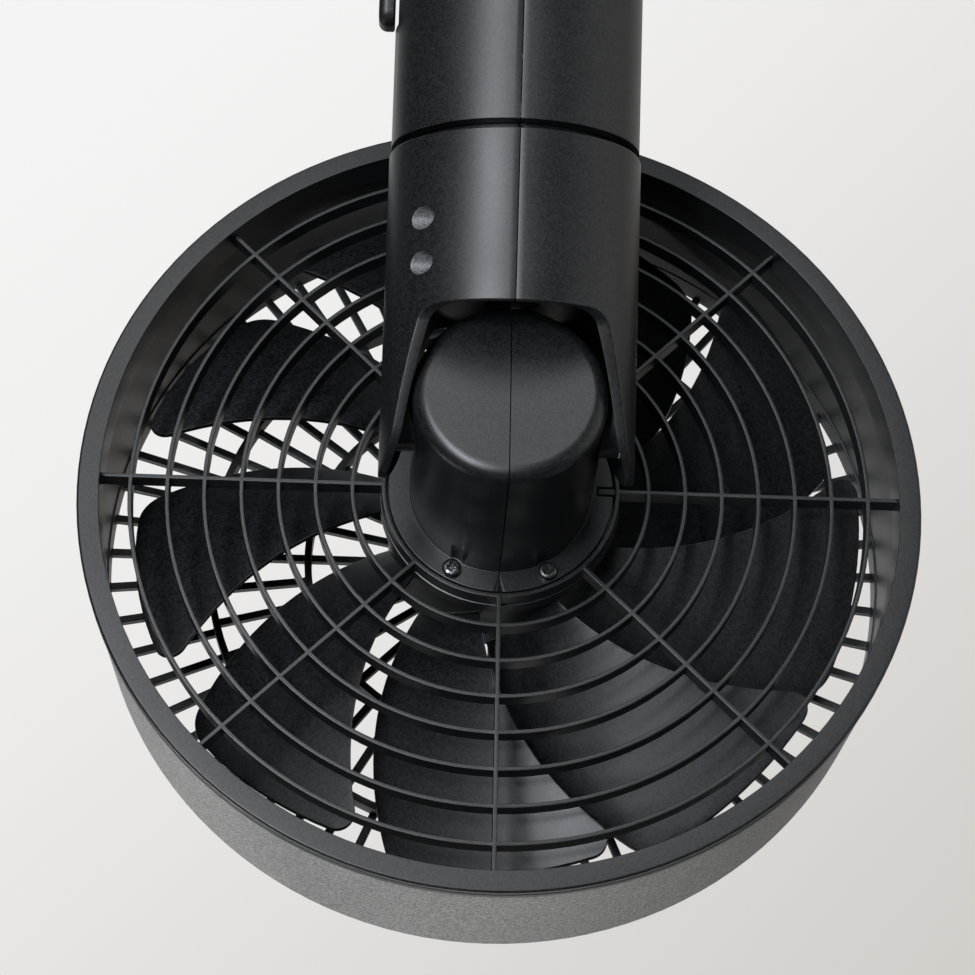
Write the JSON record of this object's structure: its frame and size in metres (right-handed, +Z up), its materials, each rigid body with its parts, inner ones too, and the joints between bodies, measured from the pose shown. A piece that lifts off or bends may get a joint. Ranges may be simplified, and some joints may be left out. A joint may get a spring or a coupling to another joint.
{
  "type": "track rail fan",
  "caption": "Ceiling track circulator fan: a drum fan with rear and front grilles, tilting in a yoke that swings under a cylindrical housing with a track plug and lock lever.",
  "frame": {"origin": "centre of the housing's flat top face, which meets the ceiling track", "axes": "+Z up into the track, -Y the way the fan blows, +X towards the lock lever"},
  "size_m": [0.258, 0.175, 0.3361],
  "materials": {
    "black_plastic": "fine-grained matte black",
    "impeller_plastic": "smooth satin black",
    "shroud_plastic": "sand-grained dark grey",
    "dark_screw": "blackened steel",
    "steel": "ground steel",
    "sheet_steel": "zinc-plated sheet",
    "aluminium": "die-cast",
    "laminations": "varnished laminations",
    "magnet": "bonded ferrite",
    "winding": "enamelled copper",
    "contact": "bright",
    "bearing_bronze": "sintered bronze",
    "white_plastic": "natural acetal",
    "board": "solder mask green",
    "component": "moulded component"
  },
  "bodies": {
    "mount": {"top_cap": "black_plastic", "track_plug": "black_plastic", "contact_blades": "contact", "cap_screws": "dark_screw", "housing_shell_left": "black_plastic", "housing_shell_right": "black_plastic", "lever_pin": "steel", "swivel_plate": "sheet_steel", "swivel_bush": "white_plastic", "swing_bracket": "sheet_steel", "swing_motor": "sheet_steel", "control_board": "board", "board_parts": "component"},
    "lever": {"lock_lever": "black_plastic"},
    "latch": {"lock_latch": "white_plastic"},
    "pinion": {"swing_pinion": "white_plastic"},
    "yoke": {"swivel_spindle": "steel", "spindle_ring": "steel", "swing_gear": "white_plastic", "yoke_shell_left": "black_plastic", "yoke_shell_right": "black_plastic", "yoke_screws": "dark_screw", "tilt_bush_left": "white_plastic", "tilt_bush_right": "white_plastic"},
    "head": {"tilt_pin_left": "steel", "tilt_pin_right": "steel", "tilt_washer_left": "white_plastic", "tilt_washer_right": "white_plastic", "motor_cover_left": "black_plastic", "motor_cover_right": "black_plastic", "cover_screws": "dark_screw", "rear_grille": "black_plastic", "shroud": "shroud_plastic", "front_grille": "shroud_plastic", "front_cap": "shroud_plastic", "motor_bracket": "aluminium", "bearing_rear": "bearing_bronze", "bearing_front": "bearing_bronze", "stator_core": "laminations", "stator_windings": "winding", "motor_board": "board", "motor_board_chips": "component"},
    "rotor": {"impeller": "impeller_plastic", "rotor_cup": "sheet_steel", "rotor_magnet": "magnet", "motor_shaft": "steel", "impeller_nut": "steel"}
  },
  "joints": [
    {"name": "swing", "type": "hinge", "parent": "mount", "child": "yoke", "pos_m": [0, 0, -0.096], "axis": [0, 0, 1], "range_deg": [-45, 45]},
    {"name": "swing_pinion", "type": "hinge", "parent": "mount", "child": "pinion", "pos_m": [0, -0.024, -0.083], "axis": [0, 0, 1], "range_deg": [-135, 135]},
    {"name": "tilt", "type": "hinge", "parent": "yoke", "child": "head", "pos_m": [0, 0, -0.176], "axis": [1, 0, 0], "range_deg": [-17.7, 72.3]},
    {"name": "fan_spin", "type": "hinge", "parent": "head", "child": "rotor", "pos_m": [0, 0, -0.176], "axis": [0, 0.9527, 0.304], "continuous": true},
    {"name": "lever", "type": "hinge", "parent": "mount", "child": "lever", "pos_m": [0.028, 0, -0.026], "axis": [0, -1, 0], "range_deg": [0, 12], "stiffness_Nm_per_rad": 0.15, "springref_deg": -5.73},
    {"name": "latch", "type": "slide", "parent": "mount", "child": "latch", "axis": [0, 0, -1], "range_m": [0, 0.00345]}
  ],
  "couplings": [
    {"joint": "swing_pinion", "follows": "swing", "ratio": -3},
    {"joint": "lever", "follows": "latch", "rad_per_m": 60.606}
  ]
}
